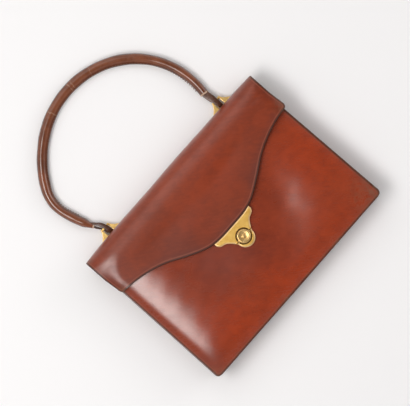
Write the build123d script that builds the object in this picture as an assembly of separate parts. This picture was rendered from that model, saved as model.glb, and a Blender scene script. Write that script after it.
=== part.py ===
from build123d import *
import os
from math import asin, cos, degrees, radians, sin, sqrt

# A stiff leather flap handbag lying on its back: X across the bag, Y towards the handle, Z out of the front.
# The origin is the middle of the flat back. Lengths are millimetres, angles degrees.

# Body
body_height = 187.0
body_top_width = 257.0
body_flare = 4.0
body_depth = 36.0
corner_radius = 5.3
leather = 1.8
lining = 1.2
glue_line = 0.1
overrun = 5.0

# Front panel: a flat seam rim on three sides, then a soft swell up to the flat middle
rim_width = 4.0
rim_drop = 5.0
swell_run = 24.0
swell_corner_gain = 12.0
mouth_drop = 34.0
swell_run_shares = (0.0, 0.36, 1.0)
swell_rise_shares = (0.0, 0.56, 1.0)

# Side gussets, folded inwards, and the base
gusset_leather = 1.4
gusset_lining = 0.8
gusset_fold = 12.0
gusset_drop = 4.5
fold_round = 2.0
seam_inset = 0.4
seam_flange = 3.3
lining_inset = 6.0
gusset_lining_step = 3.7
base_board = 1.6
board_end_gap = 2.0
seat_gap = 0.2

# Crown and flap: one hide that runs up the back, bends over the top and hangs down the front
flap_overhang = 5.0
flap_side_drop = 51.2
flap_point_drop = 91.4
flap_gap = 0.3
flap_corner = 4.2
flap_roll_radius = 95.0
flap_roll_run = 30.5
flap_lining_inset = 0.8
crease_angle = 10.0
crease_gap = 0.3
ogee_end_slope = 0.1
ogee_shares = ((0.0, 1.0), (0.268, 0.913), (0.434, 0.652), (0.6, 0.343), (0.79, 0.117), (1.0, 0.0))

# Clasp: winged plate on the flap, lobe with a turning knob on the front panel
lock_drop = 107.8
clasp_half_width = 27.3
clasp_rise = 11.3
wing_corner = 2.7
lobe_radius = 11.2
lobe_sink = 1.6
clasp_plate = 1.6
clasp_edge = 0.35
clasp_split = 0.2
tang_plate = 0.8
tang_half_width = 21.0
tang_length = 9.0
pocket_gap = 0.1
flank_shares = ((0.93, 1.0), (0.678, 0.717), (0.502, 0.257))
lock_floor = 1.2
lock_floor_radius = 10.0
well_radius = 8.9
notch_radius = 1.1
ledge_plate = 0.5
ledge_radius = 7.5

# Knob: dished disc, cross arm below it, stem through the front panel and a washer on its end
knob_radius = 7.1
knob_height = 1.8
knob_edge = 0.6
knob_dish = 0.4
knob_ring_radius = 2.8
knob_ring_width = 0.6
knob_ring_depth = 0.4
knob_button_rise = 0.3
arm_reach = 8.6
arm_half_width = 1.5
arm_plate = 0.8
arm_gap = 0.3
stem_radius = 2.5
stem_fit = 0.05
stem_hole_gap = 0.5
spigot_radius = 1.5
spigot_head = 0.5
spigot_head_radius = 2.1
washer_plate = 0.8
washer_radius = 4.5
washer_gap = 0.3
lock_backing = 1.2
lock_backing_radius = 12.0

# Rivets
rivet_radius = 1.0
rivet_head = 0.6
rivet_head_radius = 1.8
rivet_fit = 0.05
rivet_bite = 0.9
lock_rivet_offset = 6.8
tang_rivet_offset = 14.0

# Handle brackets: flared plates with a slot below a round bar
bracket_end_inset = 42.4
bar_reach = 8.8
bar_radius = 1.3
bracket_plate = 1.6
bracket_edge = 0.3
bracket_top_half = 5.6
bracket_base_half = 15.5
bracket_flare = 9.5
bracket_flare_half_share = 0.53
bracket_flare_drop_share = 0.4
bracket_seat = 0.4
bracket_tang_half = 10.0
bracket_tang_inner = 8.0
bracket_rivet_spread = 6.0
bracket_rivet_inset = 3.5
slot_half_width = 4.2
slot_gap = 0.4

# Handle: rolled grip round a core cord, seam flange on the inside of the arch, strap loop at each end
grip_radius = 5.3
grip_leather = 1.5
core_gap = 0.1
core_sides = 8
table_gap = 0.1
seam_reach = 2.0
seam_thickness = 2.6
strap_leather = 1.4
strap_half_width = 3.8
strap_loop_gap = 0.3
strap_neck_half = 2.6
strap_neck_depth_half = 2.2
strap_plug = 6.0
plug_gap = 0.4
handle_rise = 127.0
handle_start_angle = 114.0
handle_path_shares = ((-1.091, 0.076), (-1.208, 0.34), (-1.138, 0.581), (-0.596, 0.913),
                      (0.474, 0.891), (0.944, 0.49), (0.967, 0.12))

# Places that follow from the sizes
base_y = -body_height / 2
body_base_width = body_top_width + body_flare
flap_width = body_top_width + flap_overhang
bracket_offset = flap_width / 2 - bracket_end_inset
crown_y = body_height / 2
flap_thickness = leather + lining
crown_radius = (body_depth + flap_gap + flap_thickness) / 2
crown_line_y = crown_y - crown_radius
crown_line = (crown_line_y, crown_radius)
mouth_y = crown_y - mouth_drop
rim_top = body_depth - rim_drop
rim_under = rim_top - leather
lock_y = crown_y - lock_drop
clasp_under = body_depth + flap_gap + lining
clasp_top = clasp_under + clasp_plate
lock_floor_top = body_depth + lock_floor
arm_under = clasp_under + ledge_plate + arm_gap
knob_under = arm_under + arm_plate
panel_inside = body_depth - flap_thickness
backing_inside = panel_inside - lock_backing
bar_y = crown_y + bar_reach
bar_z = grip_radius + table_gap
back_inside = leather + lining
lower_quarter = -90.0
upper_quarter = 90.0


def half_width(y):
    """Half the body's width at a height y: the sides flare towards the base."""
    share = (y - base_y) / body_height
    return (body_base_width - share * body_flare) / 2


def body_outline(inset, top, corner):
    """A body panel seen from the front, taken in by inset on its sides and base, with round lower corners."""
    low = base_y + inset
    low_half = half_width(low) - inset
    top_half = half_width(top) - inset
    corners = [(-low_half, low), (low_half, low), (top_half, top), (-top_half, top)]
    sheet = make_face(Polyline(*corners, close=True))
    lower_corners = sheet.vertices().group_by(Axis.Y)[0]
    return fillet(lower_corners, corner)


def upright(radius, low, high, x=0, y=0):
    """A round bar along Z between two heights."""
    return extrude(Pos(x, y, low) * Circle(radius), high - low)


def across(profile, half_length):
    """A side view, drawn in Y and Z, carried across the bag to both sides."""
    return extrude(Plane.YZ * profile, half_length, both=True)


# Front panel


def swell(extra_inset, sink, top, ruled=False):
    """The solid under the front panel's swell, its foot taken in and its face let down."""
    sections = []
    for run_share, rise_share in zip(swell_run_shares, swell_rise_shares):
        inset = rim_width + extra_inset + run_share * swell_run
        height = rim_top + rise_share * rim_drop - sink
        corner = corner_radius + run_share * swell_corner_gain
        sections.append(Pos(0, 0, height) * body_outline(inset, top, corner))
    return loft(sections, ruled=ruled)


def lock_holes():
    """What passes through the front panel behind the lock: the stem and two rivets."""
    holes = upright(stem_radius + stem_hole_gap, rim_under, body_depth + overrun, 0, lock_y)
    for x, y in lock_rivet_places():
        holes += upright(rivet_radius + rivet_fit, rim_under, body_depth + overrun, x, y)
    return holes


def front_panel():
    rim = extrude(Pos(0, 0, rim_under) * body_outline(0, mouth_y, corner_radius), leather)
    shell = rim + swell(0, 0, mouth_y) - swell(0, leather, mouth_y + overrun)
    return shell - lock_holes()


def front_lining():
    foot = lining_inset - rim_width
    outer = swell(foot, leather + glue_line, mouth_y, ruled=True)
    shell = outer - swell(foot, leather + lining, mouth_y + overrun, ruled=True)
    return shell - lock_holes()


# Crown and back panel


def crown_band(outer, inner, start, end):
    """A strip of the crown in side view, between two radii and two angles above the back-to-front line."""
    outside = CenterArc(crown_line, outer, start, end - start)
    inside = CenterArc(crown_line, inner, start, end - start)
    return make_face([outside, Line(outside @ 1, inside @ 1), inside, Line(inside @ 0, outside @ 0)])


def crease_half_angle():
    """Half the angle that the crease's gap takes on the crown."""
    return degrees(crease_gap / 2 / crown_radius)


def bracket_slits():
    """Slits in the crown that the brackets' tangs pass through."""
    width = 2 * (bracket_tang_half + seat_gap)
    height = bracket_plate + 2 * seat_gap
    depth = crown_radius + overrun
    slits = Part()
    for side in (-1, 1):
        slits += Pos(side * bracket_offset, crown_line_y + depth / 2, bar_z) * Box(width, depth, height)
    return slits


def bracket_rivet_places():
    """Two rivets in each bracket's tang, beside the start of the crown."""
    y = crown_line_y - bracket_rivet_inset
    return [(side * bracket_offset + step * bracket_rivet_spread, y) for side in (-1, 1) for step in (-1, 1)]


def bracket_rivet_holes(low, high):
    holes = Part()
    for x, y in bracket_rivet_places():
        holes += upright(rivet_radius + rivet_fit, low, high, x, y)
    return holes


def back_panel():
    plate = extrude(body_outline(0, crown_line_y, corner_radius), leather)
    band = crown_band(crown_radius, crown_radius - leather, lower_quarter, crease_angle - crease_half_angle())
    hide = plate + across(band, flap_width / 2)
    return hide - bracket_slits() - bracket_rivet_holes(leather - rivet_bite, leather + overrun)


def back_lining():
    outer = leather + glue_line
    sheet = body_outline(lining_inset, crown_line_y, corner_radius)
    plate = extrude(Pos(0, 0, outer) * sheet, back_inside - outer)
    end = crease_angle - crease_half_angle()
    band = crown_band(crown_radius - outer, crown_radius - back_inside, lower_quarter, end)
    cloth = plate + across(band, flap_width / 2 - flap_lining_inset)
    return cloth - bracket_slits() - bracket_rivet_holes(0, back_inside + overrun)


# Gussets and base


def strip(points, thickness, round_radius):
    """A bent strip in section: a line through the points with rounded folds, given its thickness."""
    line = FilletPolyline(*points, radius=round_radius)
    return trace(line, thickness)


def gusset_section(side_x):
    """Right-hand gusset in plan: a seam flange on each panel and a fold that points into the bag."""
    back_z = leather + gusset_leather / 2
    front_z = rim_under - gusset_leather / 2
    outer_x = side_x - seam_inset
    wall_x = outer_x - seam_flange
    fold = (wall_x - gusset_fold, (back_z + front_z) / 2)
    points = [(outer_x, back_z), (wall_x, back_z), fold, (wall_x, front_z), (outer_x, front_z)]
    return strip(points, gusset_leather, fold_round)


def gusset_lining_section(side_x):
    """The lining inside the right-hand gusset follows its two walls and its fold."""
    back_z = back_inside + gusset_leather
    front_z = rim_under - gusset_leather - lining
    wall_x = side_x - seam_inset - seam_flange - gusset_lining_step
    fold = (wall_x - gusset_fold, (back_z + front_z) / 2)
    points = [(wall_x, back_z), fold, (wall_x, front_z)]
    return strip(points, gusset_lining, fold_round)


def gusset_foot():
    """Height of the gussets' lower ends, just above the base."""
    return base_y + seam_inset + seam_flange + seat_gap


def carried_up(section_at, side):
    """A gusset's section carried up along the body's flared side, on the side asked for."""
    foot = gusset_foot()
    head = mouth_y - gusset_drop
    run = Vector(half_width(head) - half_width(foot), head - foot, 0)
    section = section_at(half_width(foot))
    wall = extrude(Plane.XZ.offset(-foot) * section, run.length, dir=run)
    return wall if side > 0 else mirror(wall, about=Plane.YZ)


def base_panel():
    back_z = leather + gusset_leather / 2
    front_z = rim_under - gusset_leather / 2
    edge_y = base_y + seam_inset
    wall_y = edge_y + seam_flange - gusset_leather / 2
    points = [(edge_y, back_z), (wall_y, back_z), (wall_y, front_z), (edge_y, front_z)]
    half_length = body_base_width / 2 - corner_radius - seam_inset
    return across(strip(points, gusset_leather, gusset_leather), half_length)


def base_stiffener():
    low_y = gusset_foot()
    back_z = back_inside + seat_gap
    front_z = rim_under - gusset_leather - seat_gap
    centre = Pos(low_y + base_board / 2, (back_z + front_z) / 2)
    half_length = body_base_width / 2 - seam_inset - seam_flange - gusset_fold - lining_inset - board_end_gap
    return across(centre * Rectangle(base_board, front_z - back_z), half_length)


# Flap


def rolled_ends(depth):
    """The flap seen along the bag's height: flat in the middle and rolled down at both ends."""
    radius = flap_roll_radius - depth
    pivot_z = 2 * crown_radius - flap_roll_radius
    turn = degrees(asin(flap_roll_run / radius))
    half = flap_width / 2
    right = CenterArc((half - flap_roll_run, pivot_z), radius, upper_quarter - turn, turn)
    left = mirror(right, about=Plane.YZ)
    foot = Polyline(left @ 0, (-half, 0), (half, 0), right @ 0)
    face = make_face([right, Line(right @ 1, left @ 1), left, foot])
    return extrude(Plane.XZ * face, body_height, both=True)


def flap_mass(depth):
    """All that lies inside the flap's outer face let in by depth, from the crease to past the point."""
    radius = crown_radius - depth
    start = crease_angle + crease_half_angle()
    rim = CenterArc(crown_line, radius, start, upper_quarter - start)
    pie = make_face([rim, Line(rim @ 1, crown_line), Line(crown_line, rim @ 0)])
    length = crown_line_y - crown_y + flap_point_drop + overrun
    drop = Pos(crown_line_y - length / 2, crown_radius + radius / 2) * Rectangle(length, radius)
    return across(pie + drop, flap_width / 2) & rolled_ends(depth)


def flap_prism(inset):
    """The flap's outline seen from the front, as a block: straight sides and an ogee lower edge."""
    half = flap_width / 2 - inset
    side_y = crown_y - flap_side_drop + inset
    rise = flap_point_drop - flap_side_drop
    run = half - flap_corner
    points = [(x_share * run, side_y - y_share * rise) for x_share, y_share in ogee_shares]
    edge = Spline(*points, tangents=((1, 0), (1, ogee_end_slope)))
    corner = TangentArc(edge @ 1, (half, side_y + flap_corner), tangent=edge % 1)
    top = crown_y + overrun
    rest = Polyline(corner @ 1, (half, top), (0, top), (0, (edge @ 0).Y))
    right = extrude(make_face([edge, corner, rest]), 2 * crown_radius + overrun)
    return right + mirror(right, about=Plane.YZ)


def tang_outline(gap):
    """The clasp plate's hidden tang, and with a gap the pocket for it."""
    point_y = crown_y - flap_point_drop
    low = point_y - clasp_plate
    high = point_y + tang_length + gap
    width = 2 * (tang_half_width + gap)
    return Pos(0, (low + high) / 2) * Rectangle(width, high - low)


def tang_rivet_places():
    y = crown_y - flap_point_drop + tang_length / 2
    return [(side * tang_rivet_offset, y) for side in (-1, 1)]


def tang_rivet_holes():
    holes = Part()
    for x, y in tang_rivet_places():
        holes += upright(rivet_radius + rivet_fit, body_depth, clasp_under + tang_plate + pocket_gap, x, y)
        holes += upright(rivet_head_radius + rivet_fit, body_depth, body_depth + flap_gap + rivet_head, x, y)
    return holes


def flap():
    hide = (flap_mass(0) - flap_mass(leather)) & flap_prism(0)
    pocket_floor = Pos(0, 0, clasp_under - pocket_gap) * tang_outline(pocket_gap)
    pocket = extrude(pocket_floor, tang_plate + 2 * pocket_gap)
    return hide - pocket


def flap_lining():
    cloth = (flap_mass(leather + glue_line) - flap_mass(flap_thickness)) & flap_prism(flap_lining_inset)
    return cloth - tang_rivet_holes()


# Clasp


def clasp_outline():
    """The closed clasp seen from the front about the knob: two wings, hollow flanks, a round lobe."""
    top = clasp_rise + tang_length
    flank_points = [(x_share * clasp_half_width, y_share * clasp_rise) for x_share, y_share in flank_shares]
    shoulder = (clasp_half_width, clasp_rise + wing_corner)
    flank = Spline(shoulder, *flank_points, (lobe_radius, -lobe_sink), tangents=((0, -1), (0, -1)))
    lobe = CenterArc((0, -lobe_sink), lobe_radius, lower_quarter, upper_quarter)
    rest = Polyline(lobe @ 0, (0, top), (clasp_half_width, top), shoulder)
    right = make_face([flank, lobe, rest])
    return right + mirror(right, about=Plane.YZ)


def half_plane(low_y, high_y):
    """A wide strip across the clasp between two heights, to cut its outline with."""
    return Pos(0, (low_y + high_y) / 2) * Rectangle(4 * clasp_half_width, high_y - low_y)


def knob_opening():
    """The round opening for the knob, with a notch at each end of its arm."""
    opening = Circle(well_radius)
    for side in (-1, 1):
        opening += Pos(side * well_radius, 0) * Circle(notch_radius)
    return opening


def flap_plate():
    reach = clasp_rise + tang_length + overrun
    shape = (clasp_outline() & half_plane(clasp_split, reach)) - knob_opening()
    plate = extrude(Pos(0, lock_y, clasp_under) * shape, clasp_plate)
    plate -= Pos(0, -clasp_split, 0) * flap_prism(0)
    plate = chamfer(plate.faces().sort_by(Axis.Z)[-1].edges(), clasp_edge)
    ring = Circle(well_radius + notch_radius) - Circle(ledge_radius)
    ring &= half_plane(arm_half_width + arm_gap, reach)
    ledge = extrude(Pos(0, lock_y, clasp_under) * ring, ledge_plate)
    tang = extrude(Pos(0, 0, clasp_under) * tang_outline(0), tang_plate)
    holes = Part()
    for x, y in tang_rivet_places():
        holes += upright(rivet_radius + rivet_fit, clasp_under - overrun, clasp_top, x, y)
    return plate + ledge + tang - holes


def lock_base():
    reach = lobe_radius + lobe_sink + overrun
    lobe = extrude(Pos(0, lock_y, body_depth) * (clasp_outline() & half_plane(-reach, -clasp_split)),
                   clasp_top - body_depth)
    lobe = chamfer(lobe.faces().sort_by(Axis.Z)[-1].edges(), clasp_edge)
    lobe -= extrude(Pos(0, lock_y, lock_floor_top) * knob_opening(), clasp_plate + overrun)
    floor = extrude(Pos(0, lock_y, body_depth) * Circle(lock_floor_radius), lock_floor)
    base = lobe + floor - upright(stem_radius + stem_fit, body_depth - overrun, clasp_top, 0, lock_y)
    for x, y in lock_rivet_places():
        base -= upright(rivet_radius + rivet_fit, body_depth - overrun, body_depth + rivet_bite, x, y)
    return base


def lock_rivet_places():
    y = lock_y - lock_rivet_offset
    return [(side * lock_rivet_offset, y) for side in (-1, 1)]


def lock_backing_plate():
    plate = upright(lock_backing_radius, backing_inside, panel_inside, 0, lock_y)
    plate -= upright(stem_radius + stem_fit, backing_inside - overrun, panel_inside + overrun, 0, lock_y)
    for x, y in lock_rivet_places():
        plate -= upright(rivet_radius + rivet_fit, backing_inside - overrun, panel_inside + overrun, x, y)
    return plate


def rivet_group(places, low, high, head_low):
    """A set of like rivets: a shank between two heights and a flat head."""
    rivets = []
    for x, y in places:
        shank = upright(rivet_radius, low, high, x, y)
        rivets.append(shank + upright(rivet_head_radius, head_low, head_low + rivet_head, x, y))
    return Compound(rivets)


def lock_rivets():
    head_low = backing_inside - rivet_head
    return rivet_group(lock_rivet_places(), head_low, body_depth + rivet_bite, head_low)


def flap_plate_rivets():
    head_low = body_depth + flap_gap
    return rivet_group(tang_rivet_places(), head_low, clasp_under + tang_plate, head_low)


def bracket_rivets():
    tang_top = bar_z + bracket_plate / 2
    return rivet_group(bracket_rivet_places(), leather - rivet_bite, tang_top, tang_top)


# Knob


def knob_face():
    """Half of the knob's disc in section: chamfered edge, shallow dish, ring groove and a centre button."""
    top = knob_under + knob_height
    groove_outer = knob_ring_radius + knob_ring_width / 2
    groove_inner = knob_ring_radius - knob_ring_width / 2
    dish = top - knob_dish
    points = [(0, knob_under), (knob_radius, knob_under), (knob_radius, top - knob_edge),
              (knob_radius - knob_edge, top), (groove_outer, dish), (groove_outer, dish - knob_ring_depth),
              (groove_inner, dish - knob_ring_depth), (groove_inner, dish), (0, dish + knob_button_rise)]
    return make_face(Polyline(*points, close=True))


def washer_top():
    return backing_inside - washer_gap


def lock_knob():
    disc = revolve(Plane.XZ * knob_face(), Axis.Z)
    arm = Pos(0, 0, arm_under + arm_plate / 2) * Box(2 * arm_reach, 2 * arm_half_width, arm_plate)
    arm &= upright(arm_reach, arm_under, knob_under)
    stem = upright(stem_radius, washer_top(), knob_under)
    washer_low = washer_top() - washer_plate
    spigot = upright(spigot_radius, washer_low - spigot_head, washer_top())
    head = upright(spigot_head_radius, washer_low - spigot_head, washer_low)
    return Pos(0, lock_y, 0) * (disc + arm + stem + spigot + head)


def knob_washer():
    washer_low = washer_top() - washer_plate
    bore = upright(spigot_radius + stem_fit, washer_low - overrun, washer_top() + overrun, 0, lock_y)
    return upright(washer_radius, washer_low, washer_top(), 0, lock_y) - bore


# Handle brackets


def bracket(side):
    """One bracket: tang through the crown, flared shoulders, two posts and a round bar over the slot."""
    seat_height = crown_radius - bar_z - bracket_plate / 2
    seat_y = crown_line_y + sqrt(crown_radius ** 2 - seat_height ** 2) + bracket_seat
    flare_y = bar_y - bracket_flare
    head = (bracket_top_half, bar_y + bar_radius)
    waist_y = bar_y - bracket_flare * bracket_flare_drop_share
    waist = (bracket_base_half * bracket_flare_half_share, waist_y)
    flank = ThreePointArc(head, waist, (bracket_base_half, flare_y))
    tang_end = crown_line_y - bracket_tang_inner
    rest = Polyline((bracket_base_half, flare_y), (bracket_base_half, seat_y), (bracket_tang_half, seat_y),
                    (bracket_tang_half, tang_end), (0, tang_end), (0, bar_y + bar_radius), head)
    right = make_face([flank, rest])
    slot_low = bar_y - bar_radius - strap_loop_gap - strap_leather - slot_gap
    slot_high = bar_y + bar_radius + overrun
    slot = Pos(0, (slot_low + slot_high) / 2) * Rectangle(2 * slot_half_width, slot_high - slot_low)
    plate = extrude(right + mirror(right, about=Plane.YZ) - slot, bracket_plate / 2, both=True)
    bar = Pos(0, bar_y, 0) * Rot(0, upper_quarter, 0) * Cylinder(bar_radius, 2 * bracket_top_half)
    placed = Pos(side * bracket_offset, 0, bar_z) * (plate + bar)
    return placed - bracket_rivet_holes(0, bar_z + overrun)


def bracket_backing(side):
    """A block between the back's lining and one bracket's tang."""
    high = bar_z - bracket_plate / 2
    length = bracket_tang_inner
    centre = Pos(side * bracket_offset, crown_line_y - length / 2, (back_inside + high) / 2)
    block = centre * Box(2 * bracket_tang_half, length, high - back_inside)
    return block - bracket_rivet_holes(0, high + overrun)


# Handle


def handle_path():
    """The grip's centre line, flat on the table: arcs that run on from each other from left to right."""
    points = [(x_share * bracket_offset, bar_y + y_share * handle_rise)
              for x_share, y_share in handle_path_shares]
    heading = Vector(cos(radians(handle_start_angle)), sin(radians(handle_start_angle)))
    arcs = []
    for start, end in zip(points, points[1:]):
        arc = TangentArc(start, end, tangent=heading)
        heading = arc % 1
        arcs.append(arc)
    return Pos(0, 0, bar_z) * Wire(arcs)


def section_plane(path, place):
    """The plane square to the grip at a place along it, its X axis towards the inside of the arch."""
    heading = path % place
    return Plane(path @ place, x_dir=heading.cross(Vector(0, 0, 1)), z_dir=heading)


def handle_grip():
    path = handle_path()
    inner_radius = grip_radius - grip_leather
    flange_low = inner_radius + grip_leather / 2
    flange_high = grip_radius + seam_reach
    flange = Pos((flange_low + flange_high) / 2, 0) * Rectangle(flange_high - flange_low, seam_thickness)
    hide = sweep(section_plane(path, 0) * (Circle(grip_radius) + flange), path=path)
    return hide - sweep(section_plane(path, 0) * Circle(inner_radius), path=path)


def handle_core():
    path = handle_path()
    radius = grip_radius - grip_leather - core_gap
    start = (strap_plug + plug_gap) / path.length
    trimmed = path.trim(start, 1 - start)
    return sweep(section_plane(trimmed, 0) * RegularPolygon(radius, core_sides), path=trimmed)


def handle_strap(side):
    """One strap: a loop round the bracket's bar and a neck that runs into the end of the grip."""
    path = handle_path()
    place = 0 if side < 0 else 1
    mouth = section_plane(path, place)
    inward = (path % place) * (-side)
    loop_inner = bar_radius + strap_loop_gap
    loop_outer = loop_inner + strap_leather
    ring = extrude(Plane.YZ * (Circle(loop_outer) - Circle(loop_inner)), strap_half_width, both=True)
    bar_middle = Vector(side * bracket_offset, bar_y, bar_z)
    root_middle = bar_middle + Vector(0, loop_inner + strap_leather / 2, 0)
    root_plane = Plane(root_middle, x_dir=(1, 0, 0), z_dir=(0, 1, 0))
    root = root_plane * Rectangle(2 * strap_half_width, 2 * strap_leather)
    neck_plane = Plane(path @ place, x_dir=(1, -inward.X / inward.Y, 0), z_dir=inward)
    neck = neck_plane * Rectangle(2 * strap_neck_half, 2 * strap_neck_depth_half)
    plug_radius = grip_radius - grip_leather - plug_gap
    plug = extrude(mouth * Circle(plug_radius), strap_plug, dir=inward)
    return Pos(*bar_middle) * ring + loft([root, neck]) + plug


def write(name, shape):
    export_step(shape, os.path.join("parts", name + ".step"))


os.makedirs("parts", exist_ok=True)
write("back_panel", back_panel())
write("back_lining", back_lining())
write("front_panel", front_panel())
write("front_lining", front_lining())
write("base_panel", base_panel())
write("base_board", base_stiffener())
write("flap", flap())
write("flap_lining", flap_lining())
write("flap_plate", flap_plate())
write("flap_plate_rivets", flap_plate_rivets())
write("lock_base", lock_base())
write("lock_backing_plate", lock_backing_plate())
write("lock_rivets", lock_rivets())
write("lock_knob", lock_knob())
write("knob_washer", knob_washer())
write("bracket_rivets", bracket_rivets())
write("handle_grip", handle_grip())
write("handle_core", handle_core())
for side_name, side_sign in (("left", -1), ("right", 1)):
    write(side_name + "_gusset", carried_up(gusset_section, side_sign))
    write(side_name + "_gusset_lining", carried_up(gusset_lining_section, side_sign))
    write(side_name + "_bracket", bracket(side_sign))
    write(side_name + "_bracket_backing", bracket_backing(side_sign))
    write(side_name + "_handle_strap", handle_strap(side_sign))
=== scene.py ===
import math

import bmesh
import bpy
import numpy as np
from mathutils import Matrix, Vector
from mathutils.kdtree import KDTree


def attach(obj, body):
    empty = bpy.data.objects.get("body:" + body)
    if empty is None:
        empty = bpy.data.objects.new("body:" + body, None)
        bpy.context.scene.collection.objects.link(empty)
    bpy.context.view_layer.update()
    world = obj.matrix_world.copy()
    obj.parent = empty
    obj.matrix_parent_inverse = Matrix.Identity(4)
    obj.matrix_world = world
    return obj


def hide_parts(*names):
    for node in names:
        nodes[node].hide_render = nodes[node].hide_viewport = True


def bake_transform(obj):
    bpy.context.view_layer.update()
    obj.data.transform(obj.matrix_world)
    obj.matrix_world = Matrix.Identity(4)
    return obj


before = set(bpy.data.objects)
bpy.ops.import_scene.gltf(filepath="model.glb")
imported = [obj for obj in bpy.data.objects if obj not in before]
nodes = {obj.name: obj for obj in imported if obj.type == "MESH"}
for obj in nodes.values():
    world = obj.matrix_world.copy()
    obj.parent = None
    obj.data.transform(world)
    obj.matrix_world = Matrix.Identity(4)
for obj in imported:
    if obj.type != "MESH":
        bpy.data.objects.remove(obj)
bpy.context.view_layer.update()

# Front panel: one smooth calf hide over a thin board, swelling from a flat sewn rim to the middle.
# Its lining is glued to the inside, and the cut edges are painted dark and rubbed down.
MM = 0.001
BASE_Y, CROWN_Y = -93.5, 93.5
BASE_HALF, FLARE = 130.5, 2.0
FRONT_Z, RIM_Z, RIM_WIDTH = 36.0, 31.0, 6.5
SWELL_RISE, SWELL_FALL = 8.0, 36.0
MOUTH_Y, CORNER = 59.5, 5.3
LOCK_Y, LOCK_FLAT_X, LOCK_FLAT_Y = -14.3, 26.0, 20.0
VALLEY_X, VALLEY_Y, VALLEY_DEPTH, VALLEY_HALF, VALLEY_REACH = 49.0, -22.0, 5.2, 30.0, 52.0
VALLEY_COS, VALLEY_SIN, SLACK_START = 0.57, 0.82, 25.0
# Each shallow dip gives x, y, depth and its reach across and up.
FRONT_DIPS = ((-52, -30, 0.6, 30, 46), (6, -64, 0.7, 46, 20))


class Strand:
    """One value or colour on its way through a finish; sums and products of it add the nodes they need."""

    def __init__(self, tree, socket=None):
        self.tree = tree
        self.socket = socket

    def node(self, kind, settings=None, values=None, output=0):
        made = self.tree.nodes.new(kind)
        for name, value in (settings or {}).items():
            setattr(made, name, value)
        for name, value in (values or {}).items():
            if isinstance(value, Strand):
                self.tree.links.new(value.socket, made.inputs[name])
            else:
                made.inputs[name].default_value = value
        return Strand(self.tree, made.outputs[output])

    def maths(self, operation, other, swapped=False):
        first, second = (other, self) if swapped else (self, other)
        return self.node("ShaderNodeMath", {"operation": operation}, {0: first, 1: second})

    def __add__(self, other):
        return self.maths("ADD", other)

    def __radd__(self, other):
        return self.maths("ADD", other, True)

    def __sub__(self, other):
        return self.maths("SUBTRACT", other)

    def __rsub__(self, other):
        return self.maths("SUBTRACT", other, True)

    def __mul__(self, other):
        return self.maths("MULTIPLY", other)

    def __rmul__(self, other):
        return self.maths("MULTIPLY", other, True)

    def between(self, low, high):
        """0 up to low, 1 from high, smooth in between; low may lie above high."""
        return self.node("ShaderNodeMapRange", {"interpolation_type": "SMOOTHSTEP"},
                         {"Value": self, "From Min": low, "From Max": high})

    def tint(self, first, second):
        """A colour between two, by this share."""
        pair = [c if isinstance(c, Strand) else (*c, 1.0) for c in (first, second)]
        return self.node("ShaderNodeMix", {"data_type": "RGBA"}, {0: self, 6: pair[0], 7: pair[1]}, 2)


def new_finish(name):
    """An empty material, its shader, and a strand to draw its nodes from."""
    finish = bpy.data.materials.new(name)
    finish.use_nodes = True
    shader = finish.node_tree.nodes["Principled BSDF"]
    return finish, shader, Strand(finish.node_tree)


def noise(strand, where, scale, detail=3.0, roughness=0.55):
    return strand.node("ShaderNodeTexNoise", None,
                       {"Vector": where, "Scale": scale, "Detail": detail, "Roughness": roughness})


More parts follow.
